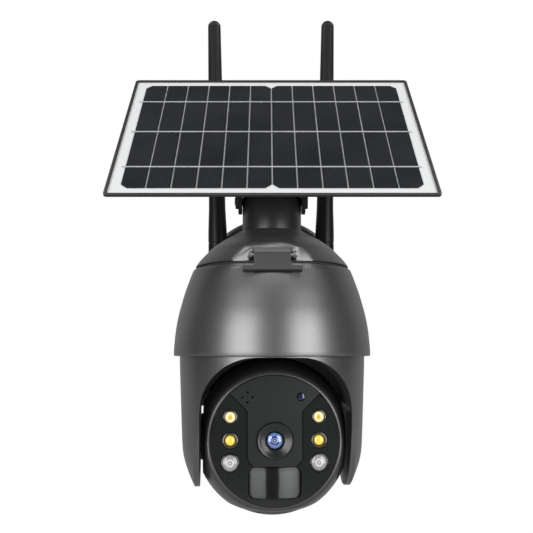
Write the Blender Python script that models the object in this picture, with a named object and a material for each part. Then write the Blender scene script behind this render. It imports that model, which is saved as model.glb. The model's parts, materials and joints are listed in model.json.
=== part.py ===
"""Solar-powered pan/tilt security camera, as an assembly of separate sub-parts.

Frame: origin at the centre of the wall plate's rear face, +Y into the wall, +Z up.
The camera looks along -Y.  Dimensions below are in millimetres; meshes are in metres.
"""
import math

import bmesh
import bpy
from mathutils import Matrix, Vector

MM = 0.001

# ---------------------------------------------------------------- driving dimensions
GAP = 0.3                 # gap between touching pieces
AXIS_Y = -118.0           # dome axis, in front of the wall
PAN_REST = 3.5            # degrees the head is turned towards +X at rest
DATUM = -53.0             # height of the housing's widest level

PLATE_R, PLATE_T = 66.0, 3.5
COVER_R, COVER_FRONT = 67.0, -14.0
SCREW_PCD_R = 48.0

ANT_X, ANT_Y, ANT_Z = 47.0, -25.0, 12.0
ANT_LEN, ANT_R0, ANT_R1, ANT_SPLAY = 237.0, 8.4, 5.8, 1.3

NECK_R, NECK_BORE, NECK_TOP = 22.5, 18.5, 71.0
SEAM_Z = 8.4
RIM_R, RIM_BOTTOM = 73.7, -57.4

ARCH_HALF, ARCH_TOP, ARCH_FILLET = 53.2, -58.2, 38.0
BALL_R, BALL_Z, BALL_FLAT = 57.3, -116.7, 51.0
FACE_Y = -30.4

PIVOT_Z, PANEL_TILT = 61.0, 46.2
SKIRT, SKIRT_Z = 71.0, -96.0
PANEL_W, PANEL_D, PANEL_T = 235.2, 176.0, 9.5
PANEL_TOP, PANEL_FRONT = 39.6, -48.25

GEAR_MODULE = 1.0
PAN_TEETH, PAN_PINION = 36, 12
TILT_TEETH, TILT_PINION = 30, 12

# (radius, height) of the outer skin of the cap, the egg housing and the yoke
CAP_SKIN = [(24.1, 36.5), (29.4, 33.8), (37.7, 29.1), (45.9, 23.0), (50.0, 18.9), (54.1, 14.6), (57.4, 10.4)]
EGG_SKIN = [(59.7, 6.6), (62.4, -0.5), (65.6, -9.6), (68.2, -18.7), (70.5, -27.7), (72.1, -36.7), (73.1, -45.6),
            (73.7, -53.2), (73.7, -56.6)]
YOKE_SKIN = [(69.2, -58.0), (68.9, -68.0), (68.3, -82.0), (67.7, -96.0), (67.0, -112.0), (66.2, -125.0),
             (64.7, -133.0), (62.4, -140.0), (59.8, -146.5), (57.4, -151.5)]

# ---------------------------------------------------------------- scene reset
for old in list(bpy.data.objects):
    bpy.data.objects.remove(old, do_unlink=True)
SCENE = bpy.context.scene.collection
MATERIALS = {}


def material(name, rgb, rough, metal=0.0, alpha=1.0):
    if name not in MATERIALS:
        m = bpy.data.materials.new(name)
        m.use_nodes = True
        b = m.node_tree.nodes["Principled BSDF"]
        b.inputs["Base Color"].default_value = (*rgb, 1.0)
        b.inputs["Roughness"].default_value = rough
        b.inputs["Metallic"].default_value = metal
        b.inputs["Alpha"].default_value = alpha
        MATERIALS[name] = m
    return MATERIALS[name]


GUNMETAL = ("gunmetal_paint", (0.07, 0.07, 0.075), 0.38, 0.6)
BLACK = ("black_plastic", (0.02, 0.02, 0.022), 0.45)
GLOSS = ("black_gloss", (0.012, 0.012, 0.014), 0.12)
SATIN = ("satin_black_metal", (0.03, 0.03, 0.033), 0.35, 0.5)
STEEL = ("steel", (0.55, 0.55, 0.57), 0.3, 1.0)
ALU = ("frame_aluminium", (0.05, 0.05, 0.055), 0.4, 0.8)
WHITE = ("white_backsheet", (0.85, 0.86, 0.88), 0.35)
CELL = ("solar_cell", (0.012, 0.014, 0.02), 0.2)
GREEN = ("circuit_board", (0.02, 0.16, 0.06), 0.5)
BLUE = ("battery_wrap", (0.05, 0.15, 0.5), 0.4)
BRASS = ("brass", (0.7, 0.5, 0.2), 0.35, 1.0)
NYLON = ("white_nylon", (0.75, 0.74, 0.70), 0.5)
RUBBER = ("black_rubber", (0.015, 0.015, 0.015), 0.8)
WARM = ("warm_led_lens", (0.95, 0.75, 0.25), 0.15)
CLEAR = ("clear_led_lens", (0.6, 0.62, 0.65), 0.1)
LENS = ("lens_glass", (0.05, 0.06, 0.35), 0.03)
PIR = ("pir_window", (0.03, 0.03, 0.035), 0.15)


# ---------------------------------------------------------------- helpers
def finish(name, bm, mat, angle=32.0):
    bmesh.ops.recalc_face_normals(bm, faces=bm.faces)
    me = bpy.data.meshes.new(name)
    for v in bm.verts:
        v.co *= MM
    bm.to_mesh(me)
    bm.free()
    me.materials.append(material(*mat))
    me.shade_smooth()
    me.set_sharp_from_angle(angle=math.radians(angle))
    ob = bpy.data.objects.new(name, me)
    SCENE.objects.link(ob)
    return ob


def lathe(name, pts, mat, segs=48, axis="Z", closed=True, centre=(0, 0, 0), angle=32.0):
    """Turned solid. pts are (radius, height along the axis)."""
    bm = bmesh.new()
    vs = [bm.verts.new((r, 0.0, h)) for r, h in pts]
    n = len(vs)
    es = [bm.edges.new((vs[i], vs[(i + 1) % n])) for i in range(n if closed else n - 1)]
    bmesh.ops.spin(bm, geom=vs + es, cent=(0, 0, 0), axis=(0, 0, 1), angle=2 * math.pi, steps=segs, use_merge=True)
    bmesh.ops.remove_doubles(bm, verts=bm.verts, dist=1e-4)
    turn = {"Z": Matrix.Identity(4), "Y": Matrix.Rotation(math.radians(-90), 4, "X"),
            "X": Matrix.Rotation(math.radians(90), 4, "Y")}[axis]
    bmesh.ops.transform(bm, matrix=Matrix.Translation(centre) @ turn, verts=bm.verts)
    return finish(name, bm, mat, angle)


def prism(name, outline, lo, hi, mat, axis="Y", centre=(0, 0, 0), angle=32.0):
    """Flat outline extruded along an axis: (x, z) along Y, (y, z) along X, (x, y) along Z."""
    place = {"Y": lambda a, b, c: (a, c, b), "X": lambda a, b, c: (c, a, b), "Z": lambda a, b, c: (a, b, c)}[axis]
    bm = bmesh.new()
    vs = [bm.verts.new(place(a, b, lo)) for a, b in outline]
    face = bm.faces.new(vs)
    top = bmesh.ops.extrude_face_region(bm, geom=[face])
    shift = Vector(place(0, 0, hi - lo))
    bmesh.ops.translate(bm, vec=shift, verts=[g for g in top["geom"] if isinstance(g, bmesh.types.BMVert)])
    bmesh.ops.translate(bm, vec=Vector(centre), verts=bm.verts)
    return finish(name, bm, mat, angle)


def box(name, lo, hi, mat, bevel=0.0):
    bm = bmesh.new()
    bmesh.ops.create_cube(bm, size=1.0)
    size = Vector(hi) - Vector(lo)
    bmesh.ops.scale(bm, vec=size, verts=bm.verts)
    bmesh.ops.translate(bm, vec=(Vector(hi) + Vector(lo)) / 2, verts=bm.verts)
    if bevel:
        bmesh.ops.bevel(bm, geom=bm.edges[:], offset=bevel, segments=1, affect="EDGES", profile=0.5)
    return finish(name, bm, mat)


def rod(name, r, lo, hi, mat, axis="Z", segs=24, centre=(0, 0, 0), chamfer=0.0, bore=0.0):
    c = chamfer
    if bore:
        pts = [(bore, hi), (r - c, hi), (r, hi - c), (r, lo + c), (r - c, lo), (bore, lo)] if c else \
              [(bore, hi), (r, hi), (r, lo), (bore, lo)]
        return lathe(name, pts, mat, segs, axis, True, centre)
    pts = [(0, hi), (r - c, hi), (r, hi - c), (r, lo + c), (r - c, lo), (0, lo)] if c else \
          [(0, hi), (r, hi), (r, lo), (0, lo)]
    return lathe(name, pts, mat, segs, axis, False, centre)


def combine(target, tool, op="DIFFERENCE", keep=False):
    """Boolean with the exact solver; the tool is used up."""
    m = target.modifiers.new("combine", "BOOLEAN")
    m.operation, m.object, m.solver = op, tool, "EXACT"
    graph = bpy.context.evaluated_depsgraph_get()
    me = bpy.data.meshes.new_from_object(target.evaluated_get(graph))
    target.modifiers.clear()
    old = target.data
    name = old.name
    mats = list(old.materials)
    target.data = me
    bpy.data.meshes.remove(old)
    me.name = name
    me.materials.clear()
    for mt in mats:
        me.materials.append(mt)
    for p in me.polygons:
        p.material_index = 0
    bm = bmesh.new()
    bm.from_mesh(me)
    bmesh.ops.remove_doubles(bm, verts=bm.verts, dist=2e-6)
    bmesh.ops.dissolve_degenerate(bm, edges=bm.edges, dist=1e-6)
    bm.to_mesh(me)
    bm.free()
    me.shade_smooth()
    me.set_sharp_from_angle(angle=math.radians(32))
    if not keep:
        bpy.data.objects.remove(tool, do_unlink=True)
    return target


def cut(target, *tools):
    for t in tools:
        combine(target, t)
    return target


def join(target, *tools):
    for t in tools:
        combine(target, t, "UNION")
    return target


def common(target, tool):
    return combine(target, tool, "INTERSECT")


def inset(pts, t):
    """Polyline moved inwards (towards the axis) by t along its own normals."""
    out = []
    for i, (r, h) in enumerate(pts):
        a = pts[max(i - 1, 0)]
        b = pts[min(i + 1, len(pts) - 1)]
        dr, dh = b[0] - a[0], b[1] - a[1]
        n = math.hypot(dr, dh)
        out.append((r + dh / n * t, h - dr / n * t))
    return out


def arc(cx, cy, r, a0, a1, n):
    return [(cx + r * math.cos(math.radians(a0 + (a1 - a0) * i / n)),
             cy + r * math.sin(math.radians(a0 + (a1 - a0) * i / n))) for i in range(n + 1)]


def rounded_rect(x0, z0, x1, z1, r, n=4):
    return (arc(x1 - r, z1 - r, r, 0, 90, n) + arc(x0 + r, z1 - r, r, 90, 180, n)
            + arc(x0 + r, z0 + r, r, 180, 270, n) + arc(x1 - r, z0 + r, r, 270, 360, n))


def gear_outline(teeth, backlash=0.16, phase=0.0):
    r = GEAR_MODULE * teeth / 2
    rb = r * math.cos(math.radians(20))
    ra, rf = r + 0.9 * GEAR_MODULE, r - 1.3 * GEAR_MODULE

    def inv(rad):
        c = min(1.0, rb / rad)
        a = math.acos(c)
        return math.tan(a) - a
    half_pitch = math.pi / (2 * teeth) - backlash / (2 * r)

    def half(rad):
        return half_pitch + inv(r) - inv(max(rad, rb))
    pts = []
    for k in range(teeth):
        mid = 2 * math.pi * k / teeth + math.radians(phase)
        for rad, s in ((rf, -1.1), (ra, -1), (ra, 1), (rf, 1.1)):
            a = mid + s * half(rad)
            pts.append((rad * math.cos(a), rad * math.sin(a)))
    return pts


def pivot(name, loc, rot=(0, 0, 0), parent=None):
    e = bpy.data.objects.new(name, None)
    SCENE.objects.link(e)
    e.parent = parent
    e.location = Vector(loc) * MM
    e.rotation_euler = [math.radians(a) for a in rot]
    return e


def hang(ob, parent, loc=(0, 0, 0), rot=(0, 0, 0)):
    ob.parent = parent
    ob.location = Vector(loc) * MM
    ob.rotation_euler = [math.radians(a) for a in rot]
    return ob


DOME = pivot("dome_axis", (0, AXIS_Y, 0))
PAN = pivot("pan_axis", (0, 0, 0), (0, 0, PAN_REST), DOME)
TILT = pivot("tilt_axis", (0, 0, BALL_Z), (0, 0, 0), PAN)
PANEL = pivot("panel_pivot", (0, 0, PIVOT_Z), (PANEL_TILT, 0, 0), DOME)

# ---------------------------------------------------------------- wall group
plate = lathe("wall_plate", [(0, 0), (PLATE_R, 0), (PLATE_R, -PLATE_T + 0.8), (PLATE_R - 0.8, -PLATE_T), (0, -PLATE_T)],
              BLACK, 32, "Y", False)
for k in range(4):
    a = math.radians(45 + 90 * k)
    cut(plate, rod("c", 2.6, -8, 4, BLACK, "Y", 16, (SCREW_PCD_R * math.cos(a), 0, SCREW_PCD_R * math.sin(a))))

cover = lathe("wall_cover", [(0, COVER_FRONT), (COVER_R - 6, COVER_FRONT), (COVER_R - 2.2, COVER_FRONT + 1.3),
                             (COVER_R, COVER_FRONT + 4.5), (COVER_R, -PLATE_T - GAP), (COVER_R - 2.5, -PLATE_T - GAP),
                             (COVER_R - 2.5, COVER_FRONT + 5), (COVER_R - 6, COVER_FRONT + 2.6), (0, COVER_FRONT + 2.6)],
              BLACK, 32, "Y", False)
cut(cover, rod("c", 8, -20, 0, BLACK, "Y", 20, (0, 0, 6)),
    rod("c", 3.9, -20, 0, BLACK, "Y", 16, (-ANT_X, 0, ANT_Z)), rod("c", 3.9, -20, 0, BLACK, "Y", 16, (ANT_X, 0, ANT_Z)))


def loft(name, stations, mat, n=20):
    """Super-elliptic sections strung along Y: (y, centre z, half width, half height)."""
    bm = bmesh.new()
    rings = []
    for y, cz, hw, hh in stations:
        ring = []
        for i in range(n):
            a = 2 * math.pi * (i + 0.5) / n
            c, s = math.cos(a), math.sin(a)
            e = 0.6
            ring.append(bm.verts.new((hw * math.copysign(abs(c) ** e, c), y, cz + hh * math.copysign(abs(s) ** e, s))))
        rings.append(ring)
    for a, b in zip(rings, rings[1:]):
        for i in range(n):
            bm.faces.new((a[i], a[(i + 1) % n], b[(i + 1) % n], b[i]))
    bm.faces.new(rings[0])
    bm.faces.new(rings[-1])
    return finish(name, bm, mat)


arm = loft("mounting_arm", [(COVER_FRONT - GAP, 6, 25, 24), (COVER_FRONT - 5, 6.5, 24, 23), (-24, 10, 20, 18.5),
                            (-34, 15.5, 18, 14), (-46, 20.6, 17, 12), (-60, 23.2, 17, 10.6), (-84, 24, 17, 10.4)], BLACK)
# the arm's front end is shaped to the cap it carries
grown = inset(CAP_SKIN, -GAP)
cap_form = lathe("c", [(0, grown[0][1])] + grown + [(grown[-1][0] + 2, SEAM_Z + 1.2), (0, SEAM_Z + 1.2)], BLACK, 64, "Z", False,
                 (0, AXIS_Y, 0))
cut(arm, cap_form, rod("c", 6, -40, -10, BLACK, "Y", 16, (0, 0, 8)))

for side, sx in (("left", -1), ("right", 1)):
    e = pivot("antenna_axis_" + side, (sx * ANT_X, ANT_Y, ANT_Z), (0, sx * ANT_SPLAY, 0))
    nut = prism("antenna_nut_" + side, [(6.6 * math.cos(math.radians(60 * k)), 6.6 * math.sin(math.radians(60 * k)))
                                        for k in range(6)], COVER_FRONT - 3.6, COVER_FRONT - GAP, BRASS)
    cut(nut, rod("c", 3.7, -30, 10, BRASS, "Y", 16))
    hang(nut, None, (sx * ANT_X, 0, ANT_Z))
    # swivelling elbow: shaft through the nut, collar, and two ears round the fold pin
    y0 = -ANT_Y
    base = rod("antenna_base_" + side, 3.3, 6.4, 16.0, BLACK, "Y", 12)
    join(base, rod("c", 7.2, 4.4, y0 + COVER_FRONT - 3.9, BLACK, "Y", 16),
         prism("c", arc(0, 0, 6.8, 0, 360, 16)[:-1], -7.0, 7.0, BLACK, "X"))
    cut(base, box("c", (-3.3, -12, -12), (3.3, 5.0, 12), BLACK))
    join(base, rod("c", 1.6, -6.5, 6.5, BLACK, "X", 8))
    hang(base, e)
    tip = ANT_LEN
    whip = lathe("antenna_whip_" + side,
                 [(0, tip), (ANT_R1 * 0.55, tip - 0.6), (ANT_R1 * 0.9, tip - 2.6), (ANT_R1, tip - 5.5),
                  (ANT_R0 - 0.9, 60), (ANT_R0, 34), (ANT_R0, 12.5), (ANT_R0 - 0.8, 9.6), (0, 9.6)], BLACK, 14, "Z", False)
    tongue = prism("c", arc(0, 0, 4.6, 180, 360, 8) + [(4.2, 12), (-4.2, 12)], -2.9, 2.9, BLACK, "X")
    join(whip, tongue)
    cut(whip, rod("c", 1.9, -9, 9, BLACK, "X", 12))
    hang(whip, e)

# ---------------------------------------------------------------- cap and neck
cap_in = inset(CAP_SKIN, 5.0)
cap = lathe("top_cap", CAP_SKIN + [(CAP_SKIN[-1][0] + 0.6, SEAM_Z + 0.6), (52.0, SEAM_Z + 0.6)] + cap_in[::-1][1:-1:2]
            + [(27.0, 31.4), (NECK_R + GAP, 31.4), (NECK_R + GAP, 36.5)], GUNMETAL, 48)


# inclined flat facet in the front of the cap, backed by a block, with two lugs for the latch pin
FACET = [(-50.9, SEAM_Z), (-40.4, 28.0)]
PIN_Y, PIN_Z = -53.2, 12.4
slope = (FACET[1][0] - FACET[0][0]) / (FACET[1][1] - FACET[0][1])


def facet_y(z, back=0.0):
    return FACET[0][0] + slope * (z - FACET[0][1]) + back


backing = prism("c", [(-62.0, SEAM_Z + 1.1), (facet_y(SEAM_Z + 1.1, 3.2), SEAM_Z + 1.1), (facet_y(31.0, 3.2), 31.0), (-62.0, 31.0)],
                -33.0, 33.0, GUNMETAL, "X")
common(backing, lathe("c2", [(0, 35.0)] + inset(CAP_SKIN, 1.4) + [(55.4, SEAM_Z + 0.8), (0, SEAM_Z + 0.8)], GUNMETAL, 44, "Z", False))
join(cap, backing)
cut(cap, prism("c", [(facet_y(0.0), 0.0), (facet_y(40.0), 40.0), (-80.0, 40.0), (-80.0, 0.0)], -60.0, 60.0, BLACK, "X"))
for sx in (-1, 1):
    lo, hi = sorted((sx * 14.2, sx * 16.6))
    lug = prism("c", [(-46.5, 9.6)] + arc(PIN_Y, PIN_Z, 2.8, 270, 90, 6) + [(-46.5, 16.4)], lo, hi, GUNMETAL, "X")
    join(cap, lug)
    # narrow slots beside the latch tab
    cut(cap, box("c", (min(sx * 13.1, sx * 14.2), -60.0, 0.0), (max(sx * 13.1, sx * 14.2), facet_y(17.0, 1.2), 40.0), BLACK))


def latch_slot(depth, half):
    """Inclined pocket for the latch plate; depth below the skin line."""
    d = Vector((-0.539, -0.842))
    n = Vector((-0.842, 0.539))
    p0 = Vector((-51.0, 19.0)) - n * depth
    p1 = p0 + d * 25.0
    q1 = p1 + n * 14
    q0 = p0 + n * 14
    return prism("c", [tuple(p0), tuple(p1), tuple(q1), tuple(q0)], -half, half, BLACK, "X")


cut(cap, rod("c", 1.5, -19.0, 19.0, BLACK, "X", 12, (0, PIN_Y, PIN_Z)))
hang(cap, DOME)

gasket = lathe("seam_gasket", [(53.6, SEAM_Z + 0.3), (57.6, SEAM_Z + 0.3), (58.1, SEAM_Z - 1.1), (53.6, SEAM_Z - 1.1)], RUBBER, 40)
cut(gasket, latch_slot(2.6, 13.4))
hang(gasket, DOME)

neck = lathe("neck_tube", [(0, NECK_TOP), (NECK_R - 1, NECK_TOP), (NECK_R, NECK_TOP - 1), (NECK_R, 31.1), (26.6, 31.1),
                           (26.6, 28.0), (NECK_BORE, 28.0), (NECK_BORE, NECK_TOP - 3), (0, NECK_TOP - 3)], SATIN, 32, "Z", False)
cut(neck, rod("c", 3.3, -40, 40, SATIN, "X", 16, (0, 0, PIVOT_Z)))
hang(neck, DOME)

# ---------------------------------------------------------------- latch
lat = Vector((-0.539, -0.842))
nor = Vector((-0.842, 0.539))
top = Vector((-51.0, 19.0)) + lat * 0.6


def slab(a, b, under, over):
    """Side outline of a plate lying along the skin line from a to b mm below its upper end."""
    return [tuple(top + lat * a - nor * under - Vector((PIN_Y, PIN_Z))), tuple(top + lat * b - nor * under - Vector((PIN_Y, PIN_Z))),
            tuple(top + lat * b + nor * over - Vector((PIN_Y, PIN_Z))), tuple(top + lat * a + nor * over - Vector((PIN_Y, PIN_Z)))]


latch = prism("latch", slab(5.4, 21.0, 2.0, 0.9), -12.9, 12.9, SATIN, "X")
join(latch, prism("c", slab(17.4, 21.0, 1.4, 1.3), -20.4, 20.4, SATIN, "X"))
join(latch, rod("c", 2.5, -12.9, 12.9, SATIN, "X", 16))
join(latch, rod("c", 1.2, -17.4, 17.4, SATIN, "X", 12))
hang(latch, DOME, (0, PIN_Y, PIN_Z))

# ---------------------------------------------------------------- egg housing
egg_in = inset(EGG_SKIN, 3.0)
egg = lathe("main_housing", [(58.7, SEAM_Z - 1.4)] + EGG_SKIN + [(73.1, RIM_BOTTOM), (71.0, RIM_BOTTOM), (70.7, -54.5)]
            + [p for p in egg_in[::-1][::2] if -50 < p[1] < 2.0] + [(54.2, SEAM_Z - 1.4)], GUNMETAL, 48)
cut(egg, latch_slot(2.6, 13.4))
foot = latch_slot(1.9, 21.0)
common(foot, box("c2", (-30, -80, -3.2), (30, -40, 4.6), BLACK))
cut(egg, foot)
ledge = [(22.4, 3.3), (36.5, 3.3), (39.0, 7.6), (22.4, 7.6)]
# upward-facing facets either side of the latch, turned at a steeper slope than the skin
for sx in (1, -1):
    band = lathe("c", [(75.0, 10.0), (75.0, 1.0), (61.96, 1.0), (56.63, 10.0)], BLACK, 48)
    cut(egg, common(band, prism("c2", [(sx * x, z) for x, z in ledge], -90, -20, BLACK)))
# window at the back for the control panel
cut(egg, prism("c", rounded_rect(-20.3, -48.3, 20.3, -25.7, 3.0), 40, 90, BLACK))
hang(egg, DOME)

control = prism("control_panel", rounded_rect(-20.0, -48.0, 20.0, -26.0, 2.7), 62.5, 73.4, BLACK)
cut(control, prism("c", rounded_rect(-17.6, -45.6, 17.6, -28.4, 1.6), 71.2, 80, BLACK),
    rod("c", 4.5, 60, 80, BLACK, "Y", 20, (-11.0, 0, -37.0)), rod("c", 2.4, 60, 80, BLACK, "Y", 16, (0.0, 0, -37.0)),
    prism("c", rounded_rect(6.4, -39.6, 15.6, -34.6, 1.8), 60, 80, BLACK))
hang(control, DOME)
hang(lathe("power_button", [(0, 1.6), (3.4, 1.4), (4.2, 0.6), (4.2, -6.0), (0, -6.0)], RUBBER, 20, "Y", False), DOME,
     (-11.0, 71.2, -37.0))
hang(lathe("reset_button", [(0, 0.6), (1.7, 0.5), (2.1, 0.1), (2.1, -6.0), (0, -6.0)], STEEL, 16, "Y", False), DOME,
     (0.0, 71.2, -37.0))
flap = prism("charge_port_flap", rounded_rect(-6.0, -9.0, 6.0, 0.0, 1.5), 0.3, 1.9, RUBBER)
join(flap, prism("c", rounded_rect(-4.2, -6.6, 4.2, -2.2, 1.5), -1.4, 0.5, RUBBER))
hang(flap, DOME, (11.0, 71.2, -32.7))

base_plate = lathe("housing_base", [(15.0, -51.5), (70.2, -51.5), (70.2, -54.5), (15.0, -54.5)], BLACK, 40)
hang(base_plate, DOME)
hang(lathe("pan_bearing", [(11.2, -49.8), (17.5, -49.8), (17.5, -51.2), (14.7, -51.2), (14.7, -54.2), (11.2, -54.2)], STEEL, 24),
     DOME)

hang(box("battery_holder", (-36, -31, -27.4), (36, 31, -25.0), BLACK, 0.6), DOME)
for i, (y, z) in enumerate(((-19.2, -15.6), (0.0, -15.6), (19.2, -15.6)), 1):
    hang(lathe("battery_cell_%d" % i, [(0, 33.6), (3.0, 33.6), (3.0, 32.5), (8.6, 32.5), (9.1, 31.9), (9.1, -32.0), (8.6, -32.5),
                                      (0, -32.5)], BLUE, 16, "X", False), DOME, (0, y, z))
board = lathe("main_board", [(0, 14.6), (40, 14.6), (40, 13.0), (0, 13.0)], GREEN, 32, "Z", False)
join(board, box("c", (-16, -14, 14.0), (10, 10, 17.4), GREEN))
cut(board, box("c", (-26, -50, 5), (26, -33.5, 30), GREEN))
hang(board, DOME)

gear_r, pin_r = PAN_TEETH / 2, PAN_PINION / 2
motor = rod("pan_motor", 13.5, -43.0, -28.6, STEEL, "Z", 24, chamfer=0.8)
join(motor, rod("c", 2.4, -51.0, -42.0, STEEL, "Z", 12))
hang(motor, DOME, (gear_r + pin_r, 0, 0))
pg = prism("pan_gear", gear_outline(PAN_TEETH), -49.4, -44.4, NYLON, "Z")
cut(pg, rod("c", 11.2, -60, -40, NYLON, "Z", 24))
hang(pg, PAN, (0, 0, 0), (0, 0, -PAN_REST + 180.0 / PAN_TEETH))
pp = prism("pan_pinion", gear_outline(PAN_PINION), -49.4, -44.4, BRASS, "Z")
cut(pp, rod("c", 2.7, -60, -40, BRASS, "Z", 12))
hang(pp, DOME, (gear_r + pin_r, 0, 0), (0, 0, 0))

# ---------------------------------------------------------------- yoke
yoke = lathe("yoke_shell", [(0, -56.0)] + [(69.2, -56.0)] + YOKE_SKIN + [(48, -153.5), (0, -153.5)], GUNMETAL, 48, "Z", False)
# side outline: full round shoulders, front of the arms on the skin, rounded lower ends, skirt across the back
side_view = ([(SKIRT, -55), (SKIRT, SKIRT_Z), (30.0, SKIRT_Z), (25.6, SKIRT_Z - 5), (24.2, -110), (22.6, -128)]
             + [(21.6 * math.cos(math.radians(a)), -130 + 23.0 * math.sin(math.radians(a))) for a in (-15, -32, -50, -70, -90)]
             + [(-8.0, -151.6), (-17.0, -147.5), (-27.0, -138.0), (-34.5, -126.0), (-39.0, -114.0), (-42.0, -104.0), (-SKIRT, -100.0),
                (-SKIRT, -55)])
common(yoke, prism("c2", side_view, -80, 80, GUNMETAL, "X"))
arch = ([(ARCH_HALF, -200)] + arc(ARCH_HALF - ARCH_FILLET, ARCH_TOP - ARCH_FILLET, ARCH_FILLET, 0, 90, 10)
        + arc(-ARCH_HALF + ARCH_FILLET, ARCH_TOP - ARCH_FILLET, ARCH_FILLET, 90, 180, 10) + [(-ARCH_HALF, -200)])
cut(yoke, prism("c", arch, -80, 2.0, GUNMETAL), box("c", (-ARCH_HALF, 1.0, -200), (ARCH_HALF, 80, SKIRT_Z + 0.4), GUNMETAL))
# hollow for the ball, and the inside of the skirt
well = BALL_R + 1.3
cut(yoke, lathe("c", [(well * math.sin(math.radians(a)), BALL_Z + well * math.cos(math.radians(a))) for a in range(0, 181, 10)], GUNMETAL,
                48, "Z", False))
hollow = rod("c", 62.3, -130, -61.0, GUNMETAL, "Z", 48)
cut(yoke, common(hollow, box("c2", (-80, 27.5, -140), (80, 80, -50), GUNMETAL)))
cut(yoke, rod("c", 7.0, -70, -50, GUNMETAL, "Z", 20))
hang(yoke, PAN)
hang(rod("pan_hub", 10.9, -55.7, -42.5, SATIN, "Z", 32, bore=7.0), PAN)

for side, sx in (("left", -1), ("right", 1)):
    lo, hi = (-52.9, -41.0) if sx < 0 else (37.0, 52.9)
    hang(rod("tilt_axle_" + side, 5.9, lo, hi, STEEL, "X", 20, chamfer=0.5), TILT)
    prof = [(6.2, 52.7), (16.4, 52.7), (17.0, 52.1), (17.0, 51.3), (9.0, 51.3), (9.0, 45.6), (6.2, 45.6)]
    b = lathe("tilt_bush_" + side, [(r, sx * h) for r, h in prof], BLACK, 24, "X")
    hang(b, TILT)
tg = prism("tilt_gear", gear_outline(TILT_TEETH, phase=0.0), 38.0, 43.0, NYLON, "X")
cut(tg, rod("c", 6.2, 30, 50, NYLON, "X", 20))
hang(tg, TILT, (0, 0, 0))
tp = prism("tilt_pinion", gear_outline(TILT_PINION, phase=180.0 / TILT_PINION), 38.0, 43.0, BRASS, "X")
cut(tp, rod("c", 2.3, 30, 50, BRASS, "X", 12))
TC = (TILT_TEETH + TILT_PINION) / 2
hang(tp, TILT, (0, TC, 0))
tm = rod("tilt_motor", 11.5, 16.0, 34.0, STEEL, "X", 24, chamfer=0.8)
join(tm, rod("c", 2.0, 33.0, 42.6, STEEL, "X", 12))
hang(tm, TILT, (0, TC, 0))

# ---------------------------------------------------------------- ball
S = BALL_R
IN = S - 2.5


def sphere_side(r, y0, y1, n):
    """(radius, y) points on a ball of radius r between two planes."""
    a0, a1 = math.asin(y0 / r), math.asin(y1 / r)
    return [(r * math.cos(a0 + (a1 - a0) * i / n), r * math.sin(a0 + (a1 - a0) * i / n)) for i in range(n + 1)]


slabs = lambda h: box("c2", (-h, -80, -80), (h, 80, 80), GUNMETAL)
hole_x = lambda: rod("c", 9.3, -60, 60, GUNMETAL, "X", 24)
hole_z = lambda: rod("c", 27.3, -60, -40, GUNMETAL, "Z", 40)
belly = lambda: lathe("c2", [(70.0 * math.sin(math.radians(a)), 15.0 + 70.0 * math.cos(math.radians(a))) for a in range(0, 181, 6)],
                      GUNMETAL, 48, "Z", False)
front = lathe("ball_front_shell", [(0, FACE_Y), (47.6, FACE_Y), (48.8, FACE_Y + 0.6)] + sphere_side(S, -28.3, -0.15, 6) + [(0, -0.15)],
              GUNMETAL, 48, "Y", False)
common(common(front, slabs(BALL_FLAT)), belly())
inner = lathe("c", [(0, -40), (46.3, -40), (46.3, -28.0), (44.4, -28.0), (44.4, -26.0)] + sphere_side(IN, -26.0, -0.15, 4)
              + [(IN, 1.0), (0, 1.0)], GUNMETAL, 48, "Y", False)
common(inner, box("c2", (-48, -80, -80), (48, 80, 80), GUNMETAL))
cut(front, inner, hole_x(), hole_z())
hang(front, TILT)
rear = lathe("ball_rear_shell", [(0, 0.15)] + sphere_side(S, 0.15, S, 9)[:-1] + [(0, S)], GUNMETAL, 48, "Y", False)
common(common(rear, slabs(BALL_FLAT)), belly())
inner = lathe("c", [(0, -1.0), (IN, -1.0)] + sphere_side(IN, 0.15, IN, 6)[:-1] + [(0, IN)], GUNMETAL, 48, "Y", False)
common(inner, box("c2", (-48, -80, -80), (48, 80, 80), GUNMETAL))
cut(rear, inner, hole_x(), hole_z())
hang(rear, TILT)
CR = 56.0
card = lathe("card_cover", [(0, -CR)] + [(r, -math.sqrt(CR * CR - r * r)) for r in (7, 14, 20, 24.5, 27.0)]
             + [(27.0, -46.6), (0, -46.6)], BLACK, 32, "Z", False)
hang(card, TILT)

# face: window disc, raised centre plate, optics, lamps and sensors
LEDS = [(-31.6, 16.4, 4.95), (-31.6, 0.2, 5.5), (-31.6, -15.4, 6.5), (31.4, 16.4, 4.95), (31.4, 0.2, 5.5), (31.4, -15.4, 6.5)]
MIC = [(-19.4, 30.4), (-19.4, 33.9), (-19.4, 26.9), (-22.9, 30.4), (-15.9, 30.4)]
SENSOR = (18.6, 30.6)
face = prism("face_plate", arc(0, 0, 46.0, 0, 360, 56)[:-1], -30.2, -28.3, GLOSS)
for x, z, r in LEDS:
    cut(face, rod("c", r + GAP, -40, -20, GLOSS, "Y", 16, (x, 0, z)))
cut(face, rod("c", 11.2, -40, -20, GLOSS, "Y", 24), rod("c", 3.1, -40, -20, GLOSS, "Y", 16, (SENSOR[0], 0, SENSOR[1])),
    prism("c", rounded_rect(-18.8, -40.0, 18.8, -18.4, 4.4), -40, -20, GLOSS))
for x, z in MIC:
    cut(face, rod("c", 0.8, -40, -20, GLOSS, "Y", 6, (x, 0, z)))
hang(face, TILT)
a0 = math.degrees(math.atan2(32.0, 30.9))
outline = (arc(0, 0, 45.7, a0, 180 - a0, 20) + [(-19.6, 21.2), (-19.2, -12.6), (-15.0, -17.9), (15.0, -17.9), (19.2, -12.6), (19.6, 21.2)])
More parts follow.
